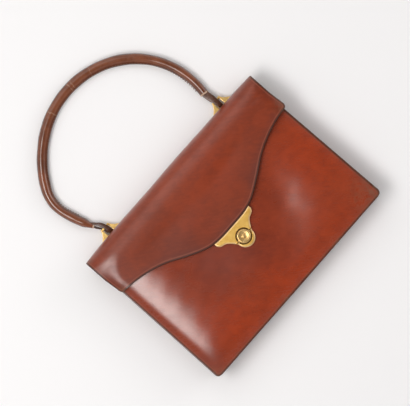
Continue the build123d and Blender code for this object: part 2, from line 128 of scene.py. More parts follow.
def calf(name, base, rough, polish, crease_and_highlight, edge_shade, smudges=(), glows=()):
    """Smooth vegetable-tanned calf: even dye with faint clouds and strokes, fine pores, worn corners.

    polish is the weight of the wax coat;
    the line pressed beside the edge has its own strength and colour: a real crease, and where that colour is lighter
    than the leather, a painted highlight on the edge's rounding; the dark along that line is painted shade, with its
    own strength;
    smudges and glows are (x, y, reach, strength) of darker and of redder places on the front face."""
    finish, shader, start = new_finish(name)
    where = start.node("ShaderNodeTexCoord", None, None, 3)
    edge = start.node("ShaderNodeAttribute", {"attribute_name": "edge"}, None, 2)
    wear = start.node("ShaderNodeAttribute", {"attribute_name": "wear"}, None, 2)
    clouds = noise(start, where, 13.0, 3.0, 0.55)
    mottle = noise(start, where, 90.0, 5.0, 0.62)
    slanted = start.node("ShaderNodeMapping", {"vector_type": "TEXTURE"},
                         {"Vector": where, "Rotation": (0.0, 0.0, -0.7), "Scale": (3.5, 1.0, 1.0)})
    strokes = noise(start, slanted, 380.0, 4.0, 0.65)
    pores = noise(start, where, 1150.0, 2.0, 0.5)
    colour = clouds.between(0.3, 0.7).tint(tuple(0.83 * c for c in base), tuple(1.10 * c for c in base))

    def patches(places):
        share = 0.0
        for x, y, reach, strength in places:
            away = start.node("ShaderNodeVectorMath", {"operation": "DISTANCE"},
                              {0: where, 1: (x * MM, y * MM, FRONT_Z * MM)}, 1)
            share = share + away.between(reach * MM, reach * MM * 0.15) * strength
        return share

    if glows:
        colour = patches(glows).tint(colour, (1.22 * base[0], 1.02 * base[1], 0.66 * base[2]))
    # Darker by the mottle and strokes of the dye, plus painted shade in a band within about 11 mm of the cut edge.
    grime_and_edge_shade = mottle.between(0.62, 0.36) * 0.27 + strokes.between(0.56, 0.36) * 0.16 + edge.between(11.0, 2.5) * edge_shade
    if smudges:
        grime_and_edge_shade = grime_and_edge_shade + patches(smudges) * (0.55 + mottle * 0.9)
    colour = grime_and_edge_shade.tint(colour, (0.52 * base[0], 0.46 * base[1], 0.55 * base[2]))
    colour = (strokes.between(0.54, 0.74) * 0.22).tint(colour, tuple(1.2 * c + 0.022 for c in base))
    # The line pressed beside the edge is a real groove in the relief; where its colour is lighter than the leather,
    # it is a painted highlight on the edge's rounding.
    groove = (edge - 2.7).maths("ABSOLUTE", 0).between(0.75, 0.1)
    colour = (groove * crease_and_highlight[0]).tint(colour, crease_and_highlight[1])
    colour = (edge.between(2.0, 1.2) * 0.85).tint(colour, (0.055, 0.018, 0.010))
    rubbed = wear * noise(start, where, 230.0, 4.0, 0.7).between(0.38, 0.66)
    colour = (rubbed * 0.7).tint(colour, (0.18, 0.080, 0.038))
    shader.inputs["Specular IOR Level"].default_value = 0.5
    shader.inputs["Coat Roughness"].default_value = 0.13
    shader.inputs["Coat IOR"].default_value = 1.6
    links = finish.node_tree.links
    links.new(colour.socket, shader.inputs["Base Color"])
    roughness = rough + (mottle - 0.5) * 0.14 + rubbed * 0.2 + grime_and_edge_shade * 0.14
    links.new(roughness.socket, shader.inputs["Roughness"])
    coat = polish + clouds * 0.2 - rubbed * 0.3 - grime_and_edge_shade * 0.3
    links.new(coat.socket, shader.inputs["Coat Weight"])
    grain = start.node("ShaderNodeTexVoronoi", {"feature": "SMOOTH_F1"}, {"Vector": where, "Scale": 820.0})
    relief = pores * 0.35 + grain * 0.5 + noise(start, where, 210.0, 3.0) * 0.7 - groove * 1.2
    bump = start.node("ShaderNodeBump", None, {"Strength": 0.09, "Distance": 0.0003, "Height": relief})
    links.new(bump.socket, shader.inputs["Normal"])
    return finish


def plain_leather(name, deep, pale, rough, grain_scale, depth):
    """Leather or suede seen at its cut edge, inside the bag or on small straps: two tones and a close nap."""
    finish, shader, start = new_finish(name)
    where = start.node("ShaderNodeTexCoord", None, None, 3)
    cloud = noise(start, where, grain_scale * 0.12, 4.0, 0.6)
    nap = noise(start, where, grain_scale, 3.0, 0.6)
    links = finish.node_tree.links
    colour = (cloud.between(0.3, 0.7) * 0.6 + nap * 0.4).tint(deep, pale)
    links.new(colour.socket, shader.inputs["Base Color"])
    links.new((rough + (nap - 0.5) * 0.2).socket, shader.inputs["Roughness"])
    bump = start.node("ShaderNodeBump", None, {"Strength": 0.3, "Distance": depth, "Height": nap})
    links.new(bump.socket, shader.inputs["Normal"])
    return finish


edge_paint = plain_leather("painted_edge", (0.030, 0.008, 0.004), (0.070, 0.021, 0.010), 0.55, 420.0, 0.0002)
edge_paint.node_tree.nodes["Principled BSDF"].inputs["Specular IOR Level"].default_value = 0.2
lining_suede = plain_leather("lining_suede", (0.30, 0.155, 0.078), (0.44, 0.25, 0.135), 0.82, 1500.0, 0.0003)


def unit(vectors):
    return vectors / np.maximum(np.linalg.norm(vectors, axis=-1, keepdims=True), 1e-9)


def hide_shell(name, sheet, thickness, finishes, worn=(), bead=0.35):
    """A skin from a grid of points on its outer face: outer face, rounded cut edge and inner face, closed.

    sheet is rows by columns by 3 in millimetres; worn lists (x, y, z, reach) of rubbed places."""
    rows, columns = sheet.shape[:2]
    outward = unit(np.cross(np.gradient(sheet, axis=1), np.gradient(sheet, axis=0)))
    thick = np.broadcast_to(thickness, (rows, columns))
    inner = sheet - outward * thick[..., None]
    ring = [(0, c) for c in range(columns)] + [(r, columns - 1) for r in range(1, rows)]
    ring += [(rows - 1, c) for c in range(columns - 2, -1, -1)] + [(r, 0) for r in range(rows - 2, 0, -1)]
    index = np.arange(rows * columns).reshape(rows, columns)
    points = [sheet.reshape(-1, 3), inner.reshape(-1, 3)]
    loops = [[index[r, c] for r, c in ring]]
    total, steps = 2 * rows * columns, 6
    rim_r, rim_c = np.array(ring).T
    within = np.stack([np.clip(rim_r, 1, rows - 2), np.clip(rim_c, 1, columns - 2)], axis=1)
    edge_points = sheet[rim_r, rim_c]
    edge_normal = outward[rim_r, rim_c]
    away = edge_points - sheet[within[:, 0], within[:, 1]]
    away = unit(away - (away * edge_normal).sum(-1, keepdims=True) * edge_normal)
    edge_thick = thick[rim_r, rim_c][:, None]
    for step in range(1, steps):
        turn = math.pi * step / steps
        loop = edge_points + away * bead * math.sin(turn) - edge_normal * edge_thick * (1 - math.cos(turn)) / 2
        points.append(loop)
        loops.append(list(range(total, total + len(ring))))
        total += len(ring)
    loops.append([rows * columns + index[r, c] for r, c in ring])
    faces, slots = [], []
    for r in range(rows - 1):
        for c in range(columns - 1):
            quad = [index[r, c], index[r, c + 1], index[r + 1, c + 1], index[r + 1, c]]
            faces.append(quad)
            slots.append(0)
            faces.append([rows * columns + i for i in reversed(quad)])
            slots.append(2)
    for near, far in zip(loops, loops[1:]):
        for i in range(len(ring)):
            j = (i + 1) % len(ring)
            faces.append([near[i], far[i], far[j], near[j]])
            slots.append(1)
    points = np.concatenate(points)
    mesh = bpy.data.meshes.new(name)
    mesh.from_pydata((points * MM).tolist(), [], [[int(i) for i in f] for f in faces])
    mesh.polygons.foreach_set("material_index", slots)
    mesh.polygons.foreach_set("use_smooth", [True] * len(faces))
    tree = KDTree(len(ring))
    for i, point in enumerate(edge_points):
        tree.insert(point, i)
    tree.balance()
    reach = [tree.find(p)[2] for p in sheet.reshape(-1, 3)]
    reach = reach + reach + [0.0] * (len(points) - 2 * rows * columns)
    mesh.attributes.new("edge", "FLOAT", "POINT").data.foreach_set("value", reach)
    rubbed = np.zeros(len(points))
    for x, y, z, size in worn:
        rubbed = np.maximum(rubbed, 1 - np.linalg.norm(points - (x, y, z), axis=1) / size)
    mesh.attributes.new("wear", "FLOAT", "POINT").data.foreach_set("value", np.clip(rubbed, 0, 1))
    for finish in finishes:
        mesh.materials.append(finish)
    piece = bpy.data.objects.new(name, mesh)
    bpy.context.scene.collection.objects.link(piece)
    mesh.update()
    return piece


def spread(low, high, step, fine, fine_run):
    """Places from low to high, close together near both ends."""
    ends = np.arange(0, fine_run, fine)
    middle = np.linspace(low + fine_run, high - fine_run, max(2, int((high - low - 2 * fine_run) / step)))
    return np.concatenate([low + ends, middle, (high - ends)[::-1]])


def ease(share):
    share = np.clip(share, 0, 1)
    return share * share * (3 - 2 * share)


def body_half(y):
    """Half the body's width at a height: flared towards the base, rounded at the lower corners."""
    half = BASE_HALF - FLARE * (y - BASE_Y) / (CROWN_Y - BASE_Y)
    short = np.clip(CORNER - (y - BASE_Y), 0, CORNER)
    return half - (CORNER - np.sqrt(CORNER ** 2 - short ** 2))


def front_height(x, y):
    """Height of the front's face: flat rim, a swell that steepens and slowly levels out, and the slack of wear."""
    side = BASE_HALF - FLARE * (y - BASE_Y) / (CROWN_Y - BASE_Y) - np.abs(x)
    low = y - BASE_Y
    inset = 1 / np.sqrt(np.maximum(side, 0.2) ** -2.0 + np.maximum(low, 0.2) ** -2.0)
    run = SWELL_RISE + SWELL_FALL
    way = np.clip(inset - RIM_WIDTH, 0, run)
    rise = np.where(way < SWELL_RISE, way ** 2 / (run * SWELL_RISE), 1 - (run - way) ** 2 / (run * SWELL_FALL))
    swell = RIM_Z + (FRONT_Z - RIM_Z) * rise
    from_x, from_y = x - VALLEY_X, y - VALLEY_Y
    along, across = VALLEY_COS * from_x + VALLEY_SIN * from_y, VALLEY_SIN * from_x - VALLEY_COS * from_y
    slack = VALLEY_DEPTH * np.exp(-(across / VALLEY_HALF) ** 2 - (along / VALLEY_REACH) ** 2)
    for dip_x, dip_y, depth, reach_x, reach_y in FRONT_DIPS:
        slack = slack + depth * np.exp(-((x - dip_x) / reach_x) ** 2 - ((y - dip_y) / reach_y) ** 2)
    slack = slack + 0.04 * np.sin(0.21 * x + 0.13 * y + 1) + 0.035 * np.sin(0.27 * y - 0.12 * x + 2)
    near_lock = np.exp(-((x / LOCK_FLAT_X) ** 2 + ((y - LOCK_Y) / LOCK_FLAT_Y) ** 2) ** 2)
    return swell - slack * (1 - near_lock) * ease(way / SLACK_START)


front_rows = spread(BASE_Y, MOUTH_Y, 2.4, 0.7, 6.3)
front_columns = spread(-1.0, 1.0, 2.2 / BASE_HALF, 0.9 / BASE_HALF, 12.0 / BASE_HALF)
grid_y, grid_s = np.meshgrid(front_rows, front_columns, indexing="ij")
grid_x = grid_s * body_half(grid_y)
front_sheet = np.stack([grid_x, grid_y, front_height(grid_x, grid_y)], axis=-1)
from_side = np.minimum(body_half(grid_y) - np.abs(grid_x), grid_y - BASE_Y)
front_thick = 1.8 + 1.1 * ease((from_side - 4.2) / 3.0)
front_calf = calf("front_calf", base=(0.310, 0.042, 0.0110), rough=0.24, polish=0.58,
                  crease_and_highlight=(0.32, (0.36, 0.11, 0.065)), edge_shade=0.14,
                  smudges=((-6, -30, 34, 0.36), (-44, -12, 38, 0.34), (20, -52, 40, 0.30),
                           (-122, -74, 22, 0.3), (40, -14, 30, 0.2)),
                  glows=((0, -86, 60, 0.9), (108, -10, 56, 0.8), (-84, -58, 46, 0.7),
                         (70, -76, 40, 0.5), (-62, -84, 40, 0.5)))
front_worn = [(127, -88, 31, 32), (-129, -91, 31, 13), (60, -93, 31, 9), (-20, -93, 31, 8)]
front = hide_shell("front", front_sheet, front_thick, (front_calf, edge_paint, lining_suede), front_worn)
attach(front, "bag")
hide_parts("front_panel", "front_lining")

# Gussets and base: thinner calf, sewn flange to flange with the front and back panels.
# Each gusset is folded into the bag along its middle; the base is a flat channel on a hidden board.
GUSSET, GUSSET_FOLD, SEAM_IN, SEAM_RUN = 1.4, 12.0, 0.4, 3.3
BACK_FLANGE_Z, FRONT_FLANGE_Z = 3.2, 27.8
gusset_calf = calf("gusset_calf", base=(0.215, 0.034, 0.012), rough=0.34, polish=0.2,
                   crease_and_highlight=(0.1, (0.13, 0.026, 0.010)), edge_shade=0.0)


def soft_line(points, count, passes):
    """A bent line with rounded folds: corners cut again and again, then spaced evenly."""
    line = np.array(points, float)
    for _ in range(passes):
        near, far = line[:-1] * 0.75 + line[1:] * 0.25, line[:-1] * 0.25 + line[1:] * 0.75
        line = np.concatenate([line[:1], np.stack([near, far], axis=1).reshape(-1, line.shape[1]), line[-1:]])
    length = np.concatenate([[0], np.cumsum(np.linalg.norm(np.diff(line, axis=0), axis=1))])
    place = np.linspace(0, length[-1], count)
    return np.stack([np.interp(place, length, line[:, k]) for k in range(line.shape[1])], axis=1)


foot_y, head_y = BASE_Y + SEAM_IN + SEAM_RUN + 0.2, MOUTH_Y - 4.5
for side_name, side in (("left", -1), ("right", 1)):
    wall = []
    for y in np.linspace(foot_y, head_y, 70):
        outer = BASE_HALF - FLARE * (y - BASE_Y) / (CROWN_Y - BASE_Y) - SEAM_IN
        wave = 0.5 * math.sin(0.11 * y + side) + 0.35 * math.sin(0.29 * y + 2 * side)
        fold = outer - SEAM_RUN - GUSSET_FOLD + 0.7 + wave * 0.8
        middle = (BACK_FLANGE_Z + FRONT_FLANGE_Z) / 2 + wave
        section = soft_line([(outer, BACK_FLANGE_Z), (outer - SEAM_RUN, BACK_FLANGE_Z),
                             (outer - SEAM_RUN - 1.8, BACK_FLANGE_Z + 1.8), (fold, middle - 1.2),
                             (fold, middle + 1.2), (outer - SEAM_RUN - 1.8, FRONT_FLANGE_Z - 1.8),
                             (outer - SEAM_RUN, FRONT_FLANGE_Z), (outer, FRONT_FLANGE_Z)], 56, 3)
        wall.append([(side * x, y, z) for x, z in section])
    wall = np.array(wall)
    if side > 0:
        wall = wall[:, ::-1]
    gusset = hide_shell(side_name + "_side", wall, GUSSET, (gusset_calf, edge_paint, lining_suede), bead=0.2)
    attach(gusset, "bag")
    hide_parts(side_name + "_gusset", side_name + "_gusset_lining")

base_section = soft_line([(BASE_Y + SEAM_IN, BACK_FLANGE_Z), (BASE_Y + 1.7, BACK_FLANGE_Z),
                          (BASE_Y + 2.3, BACK_FLANGE_Z + 0.6), (BASE_Y + 2.3, FRONT_FLANGE_Z - 0.6),
                          (BASE_Y + 1.7, FRONT_FLANGE_Z), (BASE_Y + SEAM_IN, FRONT_FLANGE_Z)], 44, 3)[::-1]
base_sheet = np.array([[(x, y, z) for y, z in base_section] for x in np.linspace(-124.8, 124.8, 110)])
base_worn = [(124, BASE_Y + 2, 15, 18), (-124, BASE_Y + 2, 15, 16)]
base = hide_shell("base", base_sheet, GUSSET, (gusset_calf, edge_paint, lining_suede), base_worn, bead=0.2)
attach(base, "bag")
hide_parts("base_panel")
board_cover = plain_leather("board_cover", (0.25, 0.13, 0.068), (0.36, 0.20, 0.11), 0.85, 1300.0, 0.0003)
nodes["base_board"].data.materials.clear()
nodes["base_board"].data.materials.append(board_cover)

# Back, crown and flap: one hide that runs up the back, bends over the top and hangs down the front.
# The flap ends in an ogee edge and is lined to its edge.
CROWN_R, EASE_FROM, FLAP_HALF = 19.17, 60.0, 132.0
CROWN_LINE_Y = CROWN_Y - CROWN_R
FLAP_SIDE_Y, FLAP_POINT_Y, FLAP_CORNER = 42.3, 2.1, 4.2
ROLL_DROP, ROLL_LOW, ROLL_HIGH, ROLL_LOW_Y, ROLL_SPAN = 5.0, 14.0, 30.5, 50.0, 22.0
CROWN_LIFT, CROWN_TUCK, CROWN_RIPPLE = 0.6, 1.6, 0.22
FLAP_LEAN, LEAN_FROM, LEAN_RUN = 1.4, 40.0, 60.0
FLAP_DIPS = ((38, 50, 1.2, 34, 17), (-45, 52, 0.9, 36, 16))
OGEE_SHARES = ((0.0, 1.0), (0.268, 0.913), (0.434, 0.652), (0.6, 0.343), (0.79, 0.117), (1.0, 0.0))


def ogee_y(x):
    """Height of the flap's lower edge: a smooth line through the shares, turned up at the corners."""
    run = FLAP_HALF - FLAP_CORNER
    places = np.array([s * run for s, _ in OGEE_SHARES])
    heights = np.array([FLAP_SIDE_Y - s * (FLAP_SIDE_Y - FLAP_POINT_Y) for _, s in OGEE_SHARES])
    slopes = np.gradient(heights, places)
    slopes[0], slopes[-1] = 0.0, 0.1
    at = np.clip(np.abs(x), 0, run)
    k = np.clip(np.searchsorted(places, at, side="right") - 1, 0, len(places) - 2)
    gap = places[k + 1] - places[k]
    t = (at - places[k]) / gap
    smooth = ((2 * t ** 3 - 3 * t ** 2 + 1) * heights[k] + (t ** 3 - 2 * t ** 2 + t) * gap * slopes[k]
              + (3 * t ** 2 - 2 * t ** 3) * heights[k + 1] + (t ** 3 - t ** 2) * gap * slopes[k + 1])
    past = np.clip(np.abs(x) - run, 0, FLAP_CORNER)
    return smooth + FLAP_CORNER - np.sqrt(FLAP_CORNER ** 2 - past ** 2)


def crown_section():
    """The bend over the top as (y, z, turn): round from the back, then easing into the flat of the flap."""
    section = [(CROWN_R * math.cos(a), CROWN_R + CROWN_R * math.sin(a), a)
               for a in np.radians(np.linspace(-90, EASE_FROM, 38))]
    left, steps = math.radians(90 - EASE_FROM), 20
    step = 2 * CROWN_R * left / steps
    for k in range(steps):
        slope = left * (1 - (k + 0.5) / steps) ** 2
        y, z, _ = section[-1]
        section.append((y - step * math.cos(slope), z + step * math.sin(slope), math.pi / 2 - slope))
    return section


def end_roll(x, y):
    """How far the flap's ends roll down: slowly by the crown, in a tighter curl lower down."""
    run = ROLL_LOW + (ROLL_HIGH - ROLL_LOW) * min(1.0, max(0.0, (y - ROLL_LOW_Y) / ROLL_SPAN)) ** 2
    radius = (run ** 2 + ROLL_DROP ** 2) / (2 * ROLL_DROP)
    past = max(0.0, abs(x) - (FLAP_HALF - run))
    return radius - math.sqrt(radius ** 2 - past ** 2)


hide_columns = spread(-1.0, 1.0, 2.1 / FLAP_HALF, 0.8 / FLAP_HALF, 8.0 / FLAP_HALF)
hide_rows = []
for y in np.concatenate([np.arange(BASE_Y, BASE_Y + 6.2, 0.75), np.linspace(BASE_Y + 7.5, CROWN_LINE_Y - 2, 46)]):
    widen = ease((y - CROWN_LINE_Y + 26) / 26)
    half = body_half(y) * (1 - widen) + FLAP_HALF * widen
    hide_rows.append([(s * half, y, 0.0) for s in hide_columns])
for out, z, turn in crown_section():
    row = []
    for s in hide_columns:
        x = s * FLAP_HALF
        roll = end_roll(x, CROWN_LINE_Y + out) * float(ease((math.degrees(turn) - 5) / 85))
        tuck = CROWN_TUCK * (abs(x) / FLAP_HALF) ** 5 - CROWN_LIFT
        ripple = CROWN_RIPPLE * math.sin(0.061 * x + 0.7) * math.cos(turn)
        row.append((x, CROWN_LINE_Y + out + (ripple - tuck) * math.cos(turn), z - roll))
    hide_rows.append(row)
flap_top_y, flap_z = CROWN_LINE_Y + out, z
drop_shares = np.concatenate([np.linspace(0.025, 0.90, 36), 1 - np.linspace(0.085, 0.0, 9)])
for share in drop_shares:
    row = []
    for s in hide_columns:
        x = s * FLAP_HALF
        y = flap_top_y + share * (float(ogee_y(x)) - flap_top_y)
        lean = FLAP_LEAN * share * float(ease((abs(x) - LEAN_FROM) / LEAN_RUN))
        slack = sum(depth * math.exp(-((x - dip_x) / reach_x) ** 2 - ((y - dip_y) / reach_y) ** 2)
                    for dip_x, dip_y, depth, reach_x, reach_y in FLAP_DIPS)
        row.append((x + lean, y, flap_z - end_roll(x, y) - slack * (1 - share) * float(ease(share / 0.3))))
    hide_rows.append(row)
hide_sheet = np.array(hide_rows)[:, ::-1]
hide_side = body_half(hide_sheet[..., 1]) - np.abs(hide_sheet[..., 0])
hide_side = np.minimum(hide_side, hide_sheet[..., 1] - BASE_Y)
on_back = (hide_sheet[..., 2] < 1.0) * ease((CROWN_LINE_Y - 4 - hide_sheet[..., 1]) / 10)
hide_thick = 2.86 - 1.06 * on_back * (1 - ease((hide_side - 4.2) / 3.0))
flap_calf = calf("flap_calf", base=(0.254, 0.0365, 0.0088), rough=0.27, polish=0.22,
                 crease_and_highlight=(0.42, (0.34, 0.11, 0.065)), edge_shade=0.3,
                 smudges=((-4, 4, 26, 0.14), (-56, 26, 34, 0.38), (58, 20, 24, 0.34),
                          (-118, 60, 30, 0.3), (30, 84, 40, 0.1)),
                 glows=((36, 56, 54, 0.7), (100, 60, 40, 0.4), (-20, 40, 40, 0.4)))
hide_worn = [(129, 44, 33, 14), (-129, 44, 33, 14), (129, -92, 1, 16), (-129, -92, 1, 16),
             (131, 92, 22, 12), (-131, 92, 22, 12)]
hide = hide_shell("back_and_flap", hide_sheet, hide_thick, (flap_calf, edge_paint, lining_suede), hide_worn)
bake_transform(hide)
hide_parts("back_panel", "back_lining", "flap", "flap_lining")

# Seams: saddle stitches in waxed linen thread, tone on tone, along the sewn rims of the front and the back.
# Each stitch is a short lens of thread that lies in the line pressed beside the edge.
thread = plain_leather("linen_thread", (0.12, 0.042, 0.020), (0.24, 0.10, 0.05), 0.55, 2600.0, 0.0002)


def stitch_tree(name, finish):
    """Nodes that lay stitches along a line of edges: pitch, length and thickness are its inputs."""
    tree = bpy.data.node_groups.new(name, "GeometryNodeTree")
    face = tree.interface
    face.new_socket("Line", in_out="INPUT", socket_type="NodeSocketGeometry")
    for label, value in (("Pitch", 0.0032), ("Stitch length", 0.0025), ("Thickness", 0.0006)):
        face.new_socket(label, in_out="INPUT", socket_type="NodeSocketFloat").default_value = value
    face.new_socket("Stitches", in_out="OUTPUT", socket_type="NodeSocketGeometry")
    give, take = tree.nodes.new("NodeGroupInput"), tree.nodes.new("NodeGroupOutput")
    curve = tree.nodes.new("GeometryNodeMeshToCurve")
    evenly = tree.nodes.new("GeometryNodeResampleCurve")
    evenly.mode = "LENGTH"
    bead = tree.nodes.new("GeometryNodeMeshUVSphere")
    bead.inputs["Segments"].default_value = 8
    bead.inputs["Rings"].default_value = 6
    bead.inputs["Radius"].default_value = 0.5
    sizes = tree.nodes.new("ShaderNodeCombineXYZ")
    lens = tree.nodes.new("GeometryNodeTransform")
    along = tree.nodes.new("GeometryNodeInputTangent")
    turn = tree.nodes.new("FunctionNodeAlignRotationToVector")
    turn.axis = "X"
    lay = tree.nodes.new("GeometryNodeInstanceOnPoints")
    real = tree.nodes.new("GeometryNodeRealizeInstances")
    paint = tree.nodes.new("GeometryNodeSetMaterial")
    paint.inputs["Material"].default_value = finish
    for source, target in (
            (give.outputs["Line"], curve.inputs["Mesh"]), (curve.outputs["Curve"], evenly.inputs["Curve"]),
            (give.outputs["Pitch"], evenly.inputs["Length"]), (give.outputs["Stitch length"], sizes.inputs["X"]),
            (give.outputs["Thickness"], sizes.inputs["Y"]), (give.outputs["Thickness"], sizes.inputs["Z"]),
            (bead.outputs["Mesh"], lens.inputs["Geometry"]), (sizes.outputs["Vector"], lens.inputs["Scale"]),
            (along.outputs["Tangent"], turn.inputs["Vector"]), (evenly.outputs["Curve"], lay.inputs["Points"]),
            (lens.outputs["Geometry"], lay.inputs["Instance"]), (turn.outputs["Rotation"], lay.inputs["Rotation"]),
            (lay.outputs["Instances"], real.inputs["Geometry"]), (real.outputs["Geometry"], paint.inputs["Geometry"]),
            (paint.outputs["Geometry"], take.inputs["Stitches"])):
        tree.links.new(source, target)
    return tree


rim_stitches = stitch_tree("rim_stitches", thread)


def sew(name, lines, body, slot, **sizes):
    """Stitches along lines of points in millimetres, as one plain mesh that rides on a body."""
    points, edges = [], []
    for line in lines:
        edges += [(len(points) + i, len(points) + i + 1) for i in range(len(line) - 1)]
        points += [tuple(c * MM for c in p) for p in line]
    mesh = bpy.data.meshes.new(name + "_line")
    mesh.from_pydata(points, edges, [])
    seam = bpy.data.objects.new(name, mesh)
    bpy.context.scene.collection.objects.link(seam)
    modifier = seam.modifiers.new("stitches", "NODES")
    modifier.node_group = rim_stitches
    labels = {s.name: s.identifier for s in rim_stitches.interface.items_tree if s.in_out == "INPUT"}
    for label, value in sizes.items():
        modifier[labels[label.replace("_", " ")]] = value
    sewn = bpy.data.meshes.new_from_object(seam.evaluated_get(bpy.context.evaluated_depsgraph_get()))
    seam.modifiers.clear()
    seam.data = sewn
    sewn.polygons.foreach_set("use_smooth", [True] * len(sewn.polygons))
    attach(seam, body)


SEAM_LINE = 2.1
down_side = np.linspace(MOUTH_Y - 1.5, BASE_Y + 6.5, 40)
turn_in = np.radians(np.linspace(0, 90, 10))
corner_r = 4.6


def rim_line(height):
    """The seam down one side, round both lower corners and up the other side."""
    line = []
    for y in down_side:
        line.append((-(float(body_half(y)) - SEAM_LINE), y))
    foot = BASE_HALF - SEAM_LINE
    for a in turn_in[1:]:
        line.append((-foot + corner_r * (1 - math.cos(a)), BASE_Y + SEAM_LINE + corner_r * (1 - math.sin(a))))
    line += [(-x, y) for x, y in reversed(line)]
    return [(x, y, height(x, y)) for x, y in line]


sew("front_seam", [rim_line(lambda x, y: RIM_Z + 0.06)], "bag", "leather")
sew("back_seam", [rim_line(lambda x, y: 0.16)], "bag", "leather")

# Clasp: gold-tone brass, a winged plate riveted under the flap's edge and a round lobe on the front.
# Both are cast with softly rounded rims; together they ring the turning knob.
CLASP_LOW, CLASP_TOP, WELL_R, SPLIT = 37.5, 39.1, 8.9, 0.2
CLASP_HALF, CLASP_RISE, WING_CORNER, LOBE_R, LOBE_SINK = 27.3, 11.3, 2.7, 10.5, 2.2
FLANK_SHARES = ((0.93, 1.0), (0.678, 0.717), (0.502, 0.257))


def gold_tone(name, deep, bright, rough):
    """Lacquered brass: fine brushed streaks, darker where it is handled, a little pitting, and a pale pinkish painted
    highlight on rounded rims.
    """
    finish, shader, start = new_finish(name)
    where = start.node("ShaderNodeTexCoord", None, None, 3)
    stretched = start.node("ShaderNodeMapping", None, {"Vector": where, "Scale": (0.12, 1.0, 1.0)})
    brushed = noise(start, stretched, 1500.0, 2.0)
    tarnish = noise(start, where, 160.0, 5.0, 0.65)
    bevel_highlight = start.node("ShaderNodeAttribute", {"attribute_name": "bevel_highlight"}, None, 2)
    pits = noise(start, where, 900.0, 3.0, 0.7)
    colour = tarnish.between(0.3, 0.72).tint(deep, bright)
    colour = (pits.between(0.66, 0.8) * 0.35).tint(colour, tuple(0.5 * c for c in deep))
    # Painted highlight: the rounded rims are tinted pale pinkish gold.
    colour = (bevel_highlight.between(0.0, 0.4) * 0.6).tint(colour, (1.0, 0.70, 0.42))
    links = finish.node_tree.links
    links.new(colour.socket, shader.inputs["Base Color"])
    shader.inputs["Metallic"].default_value = 0.62
    links.new((rough + (tarnish - 0.5) * 0.16 + (brushed - 0.5) * 0.1).socket, shader.inputs["Roughness"])
    bump = start.node("ShaderNodeBump", None, {"Strength": 0.12, "Distance": 0.0001, "Height": brushed + pits})
    links.new(bump.socket, shader.inputs["Normal"])
    return finish


clasp_gold = gold_tone("clasp_gold", (0.90, 0.505, 0.105), (0.99, 0.63, 0.165), 0.36)


def smooth_through(points, count):
    """A smooth line through points, with level ends of slope set by its neighbours."""
    points = np.array(points, float)
    t = np.concatenate([[0], np.cumsum(np.linalg.norm(np.diff(points, axis=0), axis=1))])
    slopes = np.gradient(points, t, axis=0)
    at = np.linspace(0, t[-1], count)
    k = np.clip(np.searchsorted(t, at, side="right") - 1, 0, len(t) - 2)
    gap = (t[k + 1] - t[k])[:, None]
    f = ((at - t[k])[:, None]) / gap
    return ((2 * f ** 3 - 3 * f ** 2 + 1) * points[k] + (f ** 3 - 2 * f ** 2 + f) * gap * slopes[k]
            + (3 * f ** 2 - 2 * f ** 3) * points[k + 1] + (f ** 3 - f ** 2) * gap * slopes[k + 1])


def arc(cx, cy, r, start, end, count):
    return [(cx + r * math.cos(a), cy + r * math.sin(a)) for a in np.radians(np.linspace(start, end, count))]


def moved_in(outline, by):
    """A closed outline let in by a small amount along its own normals."""
    ahead, behind = np.roll(outline, -1, axis=0), np.roll(outline, 1, axis=0)
    first, second = unit(outline - behind), unit(ahead - outline)
    n1, n2 = np.stack([-first[:, 1], first[:, 0]], 1), np.stack([-second[:, 1], second[:, 0]], 1)
    both = unit(n1 + n2)
    return outline + both * by / np.maximum((both * n1).sum(-1, keepdims=True), 0.55)


def finished(form, name, *finishes):
    """The shape as a smooth, closed piece in the scene, with its faces outwards."""
    for face in form.faces:
        face.smooth = True
    bmesh.ops.recalc_face_normals(form, faces=form.faces)
    mesh = bpy.data.meshes.new(name)
    form.to_mesh(mesh)
    form.free()
    for finish in finishes:
        mesh.materials.append(finish)
    piece = bpy.data.objects.new(name, mesh)
    bpy.context.scene.collection.objects.link(piece)
    return piece


def cast_plate(name, outline, low, high, rim, finish):
    """A flat casting from a closed outline drawn anticlockwise; rim is the width and height of its rounding."""
    outline = np.array(outline, float)
    tall = rim[1]
    wide = np.broadcast_to(np.array(rim[0], float), len(outline))[:, None]
    rings = [(0.12, low), (0.0, low + 0.12), (0.0, high - tall)]
    for a in np.radians(np.linspace(15, 90, 6)):
        rings.append((wide * (1 - math.cos(a)), high - tall * (1 - math.sin(a))))
    rings.append((wide + 0.12, high))
    form = bmesh.new()
    bevel_highlight = form.verts.layers.float.new("bevel_highlight")
    loops = []
    for inset, z in rings:
        loop = [form.verts.new((x * MM, y * MM, z * MM)) for x, y in moved_in(outline, inset)]
        # Each point on a broad rounding stores how much of the painted rim highlight it takes.
        for vert, share in zip(loop, (wide > 0.5) * (1.0 - inset / wide)):
            vert[bevel_highlight] = max(0.0, float(share[0]))
        loops.append(loop)
    for near, far in zip(loops, loops[1:]):
        for i in range(len(near)):
            j = (i + 1) % len(near)
            form.faces.new((near[i], near[j], far[j], far[i]))
    for loop in (loops[0], loops[-1]):
        sides = [form.edges.get((loop[i - 1], loop[i])) for i in range(len(loop))]
        bmesh.ops.triangle_fill(form, use_beauty=True, edges=sides)
    return finished(form, name, finish)


